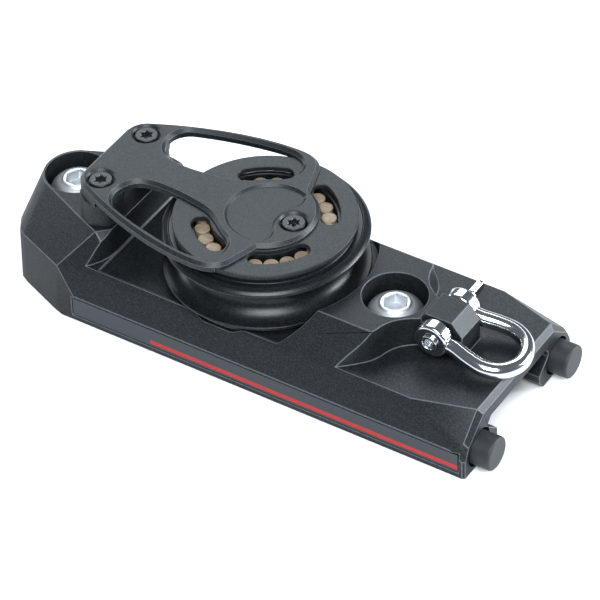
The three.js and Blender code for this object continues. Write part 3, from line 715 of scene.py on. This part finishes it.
def socket_screw(name, x, y):
    """A black cap-head screw, drawn from its tip to the driving socket."""
    length = 24
    top = SCREW_TOP
    profile = [(2.4, top - length), (2.4, top - 2.6), (3.25, top - 2.6), (3.25, top, 0.45), (2.5, top)]
    profile = rounded(profile, 0.3, 4)
    mouth = [lifted(lobed(r, 48), z) for r, z in ((2.0, top), (1.75, top - 0.2), (1.75, top - 1.7))]
    form = moved(solid(turned, profile, 48, extra=mouth), x, y)
    piece(f"turned_{name}", form, "frame", SCREW, [name], 35)


def spacer(name, y):
    low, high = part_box(name)[0].z / MM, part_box(name)[1].z / MM
    profile = [(SCREW_HOLE_R, low), (6, low), (6, high), (SCREW_HOLE_R, high)]
    form = solid(turned, rounded(profile, 0.35, 3, closed=True), 64, ring=True)
    piece(f"turned_{name}", moved(form, CHEEK_SCREW_X, y), "frame", CHEEK, [name], 35)


# ---------------------------------------------------------------- bolts, shackle and pegs


def deck_bolt(name, x):
    seat, radius, wall, rise = BOLT_SEAT, 7.9, 2.6, 4.6
    reach, steps = 55.5, 14
    dome = [
        (radius * math.cos(t), seat + wall + rise * math.sin(t))
        for t in (math.radians(reach * i / steps) for i in range(steps + 1))
    ]
    ring_r, ring_z = dome[-1]
    profile = [(3.4, 1.5), (4, 2.1), (4, seat), (radius - 0.3, seat), *dome]
    profile = rounded(profile, 0.2, 2)
    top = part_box(name)[1].z / MM
    lip = [(ring_r - 0.1, ring_z + 0.1), (ring_r - 0.3, top - 0.08), (ring_r - 0.5, top)]
    levels = ((6.5, top), (6.0, top - 0.3), (6.0, top - 3.2))
    socket = [lifted(hexagon(f, 72, math.pi / 6), z) for f, z in levels]
    form = moved(solid(turned, profile + lip, 72, extra=socket), x)
    piece(f"polished_{name}", form, "frame", BOLT_STEEL, [name], 35)


def bow_path():
    """The bow's middle line, a smooth curve through its knots."""
    side = [(2.4, 7.05), (6.2, 7), (11.2, 8.1), (16, 8.5), (19.8, 6.9), (22.2, 3.6)]
    knots = [Vector(p) for p in [*side, (23, 0), *[(x, -y) for x, y in reversed(side)]]]
    knots = [2 * knots[0] - knots[1], *knots, 2 * knots[-1] - knots[-2]]
    path = []
    for i in range(1, len(knots) - 2):
        a, b, c, d = knots[i - 1 : i + 3]
        for k in range(10):
            t = k / 10
            path.append(
                0.5 * ((2 * b) + (c - a) * t + (2 * a - 5 * b + 4 * c - d) * t * t
                       + (3 * b - a - 3 * c + d) * t**3)
            )
    path.append(knots[-2])
    return path


def rod(form, path, radius, count=28):
    """A round rod along a flat path."""
    loops = []
    for i, point in enumerate(path):
        ahead = path[min(i + 1, len(path) - 1)] - path[max(i - 1, 0)]
        ahead.normalize()
        loop = []
        for k in range(count):
            t = 2 * math.pi * k / count
            out = radius * math.cos(t)
            loop.append((point.x - ahead.y * out, point.y + ahead.x * out, radius * math.sin(t)))
        loops.append(loop)
    skin(form, loops)


def shackle():
    pin_low, pin_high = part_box("shackle_pin")
    x, z = (pin_low.x + pin_high.x) / 2 / MM - AXIS_X, (pin_low.z + pin_high.z) / 2 / MM
    lie = Matrix.Rotation(math.radians(SHACKLE_TILT), 4, "Y")
    upright = Matrix.Rotation(math.radians(-90), 4, "X")
    bow = solid(rod, bow_path(), 2.25)
    ears = []
    ear_r, ear_half, ear_y, ear_round = 5, 2.175, 7.125, 1.6
    for side in (-1, 1):
        rim = [(ear_r, -ear_half, ear_round), (ear_r, ear_half, ear_round)]
        profile = [(2.9, -ear_half), *rim, (2.9, ear_half)]
        ears.append(moved(solid(turned, rounded(profile, ear_round, 7), 56), 0, side * ear_y, 0, upright))
    bow = combined(bow, ears, "UNION")
    inner = solid(block, -6, 5.6, -4.95, 4.95, -6, 6)
    hole = solid(turned, [(2.5, -15), (2.5, 15)], 48)
    bow = combined(bow, [inner, moved(hole, turn=upright)], "DIFFERENCE")
    piece("polished_bow", moved(bow, x, 0, z, lie), "shackle", STEEL, ["shackle_bow"], 35)
    half = 10.1
    profile = [(1.2, -12.4), (1.6, -12.4, 0.2), (1.6, -half, 0.2), (2.4, -half, 0.5), (2.4, half, 0.5)]
    profile = rounded([*profile, (1.9, half, 0.1), (1.85, half - 0.3, 0.1), (1.5, half - 0.3)], 0.5, 4)
    socket = [lifted(hexagon(f, 48), half - d) for f, d in ((2.5, 0.3), (2.2, 0.45), (2.2, 1.4))]
    pin = solid(turned, profile, 48, extra=socket)
    tab = [(-1.75, -11.6), (1.75, -11.6), (1.75, -17.2), (0.65, -18.3), (-0.65, -18.3), (-1.75, -17.2)]
    flat = solid(slab, rounded(tab, 0.7, 4, closed=True), [], -0.9, 0.9, 0.3, 3)
    flat.transform(Matrix(((0, 0, 1, 0), (1, 0, 0, 0), (0, 1, 0, 0), (0, 0, 0, 1))))
    pin = moved(combined(pin, [flat], "UNION"), turn=Matrix.Rotation(math.radians(90), 4, "X"))
    piece("polished_pin", moved(pin, x, 0, z, lie), "shackle", STEEL, ["shackle_pin"], 35)


def peg(name, y):
    profile = [(2.0, 64), (4.85, 64, 0.4), (4.85, 84, 1.0), (3.0, 84.0)]
    profile = rounded(profile, 0.9, 6)
    form = solid(turned, profile, 64)
    form.transform(Matrix.Rotation(math.radians(90), 4, "Y"))
    piece(f"moulded_{name}", moved(form, 0, y, PEG_Z), "frame", RUBBER, [name], 35)


# ---------------------------------------------------------------- base body


def base_body():
    """The body's own solid, merged, with its edges rounded off. The facets that this makes are marked
    for the painted edge highlight in the finish."""
    least_angle, least_length, round_off = math.radians(16), 0.35, 0.2
    form = bmesh.new()
    form.from_mesh(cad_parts["base_body"].data)
    form.transform(Matrix.Translation((-AXIS_X, 0, 0)) @ Matrix.Diagonal((1 / MM, 1 / MM, 1 / MM, 1)))
    bmesh.ops.remove_doubles(form, verts=form.verts, dist=0.01)
    bmesh.ops.dissolve_limit(form, angle_limit=math.radians(0.6), verts=form.verts, edges=form.edges)
    sharp = [
        e for e in form.edges
        if len(e.link_faces) == 2 and e.calc_face_angle(0) > least_angle and e.calc_length() > least_length
    ]
    # The bevel's faces are marked here for the painted edge highlight in the finish.
    highlight_facets = form.faces.layers.float.new("highlight_facets")
    made = bmesh.ops.bevel(
        form, geom=sharp, offset=round_off, offset_type="OFFSET", segments=2, profile=0.5,
        affect="EDGES", clamp_overlap=False, loop_slide=True, material=-1,
    )
    for face in made["faces"]:
        face[highlight_facets] = 1.0
    bmesh.ops.triangulate(form, faces=[f for f in form.faces if len(f.verts) > 4])
    piece("machined_body", form, "frame", BODY, ["base_body"], 15)


sheave()
upper_race()
rollers()
ball_row("upper_side_balls", "upper_ball_ring", SHEAVE_Z + BALL_ROW_RISE)
ball_row("lower_side_balls", "lower_ball_ring", SHEAVE_Z - BALL_ROW_RISE)
cheek()
socket_screw("front_cheek_screw", CHEEK_SCREW_X, -CHEEK_SCREW_Y)
socket_screw("rear_cheek_screw", CHEEK_SCREW_X, CHEEK_SCREW_Y)
socket_screw("hub_screw", HUB_SCREW_X, 0)
spacer("front_cheek_spacer", -CHEEK_SCREW_Y)
spacer("rear_cheek_spacer", CHEEK_SCREW_Y)
deck_bolt("nose_deck_bolt", NOSE_BOLT_X)
deck_bolt("tail_deck_bolt", TAIL_BOLT_X)
shackle()
peg("front_bumper_peg", -PEG_Y)
peg("rear_bumper_peg", PEG_Y)
base_body()

strip_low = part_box("front_side_strip")[0].z
red_line = (strip_low + 0.0007, strip_low + 0.0021)
STRIP = strip_film("strip_film", *red_line, (AXIS_X + RED_LINE_START_X) * MM)
kept = {
    "front_side_strip": STRIP,
    "rear_side_strip": STRIP,
    "lower_race_plate": RACE,
    "hub_sleeve": WHEEL,
}
for name, finish in kept.items():
    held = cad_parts[name]
    held.data.materials.clear()
    held.data.materials.append(finish)
    edge = held.modifiers.new("edges", "BEVEL")
    edge.width = 0.0001
    edge.segments = 2
    edge.limit_method = "ANGLE"

# ---------------------------------------------------------------- stage, light and camera

floor_form = bmesh.new()
bmesh.ops.create_grid(floor_form, x_segments=1, y_segments=1, size=6.0)
floor = placed("floor", mesh_of(floor_form, "floor"))
floor.location.z = cad_box[0][2] - 0.0002
floor.data.materials.append(floor_paint("floor_paint"))


COOL = (0.90, 0.955, 1.0)
LIGHTS_AIM = Vector((0, 0, 0.015))


def soft_light(name, place, size, power):
    data = bpy.data.lights.new(name, "AREA")
    data.shape = "RECTANGLE"
    data.size, data.size_y = size
    data.energy = power
    data.color = COOL
    light = placed(name, data)
    light.location = place
    light.rotation_euler = (LIGHTS_AIM - Vector(place)).to_track_quat("-Z", "Y").to_euler()


soft_light("sheen_box", (-0.50, 0.72, 0.78), (0.75, 0.55), 5.6)
soft_light("front_box", (0.45, -0.75, 1.10), (0.8, 0.8), 25.0)
soft_light("end_box", (0.95, 0.75, 0.42), (0.6, 0.35), 21.0)
soft_light("nose_box", (-1.00, 0.05, 0.25), (0.6, 0.3), 3.2)

world = bpy.data.worlds.new("room")
world.use_nodes = True
sky = world.node_tree.nodes["Background"].inputs
sky["Color"].default_value = (0.87, 0.94, 1.0, 1)
sky["Strength"].default_value = 0.20
bpy.context.scene.world = world
bpy.context.scene.view_settings.view_transform = "Standard"
bpy.context.scene.view_settings.look = "Medium High Contrast"

camera_data = bpy.data.cameras.new("camera")
camera_data.sensor_width = 36.0
camera_data.lens = 221.2
camera_data.clip_end = 20.0
camera = placed("camera", camera_data)
camera_place = (0.42510, -0.62356, 0.67503)
right = (0.8445, 0.5348, -0.0303)
up = (-0.3355, 0.5722, 0.7484)
back = (0.4175, -0.6218, 0.6626)
turn = Matrix((right, up, back)).transposed()
camera.matrix_world = Matrix.Translation(camera_place) @ turn.to_4x4()
bpy.context.scene.camera = camera
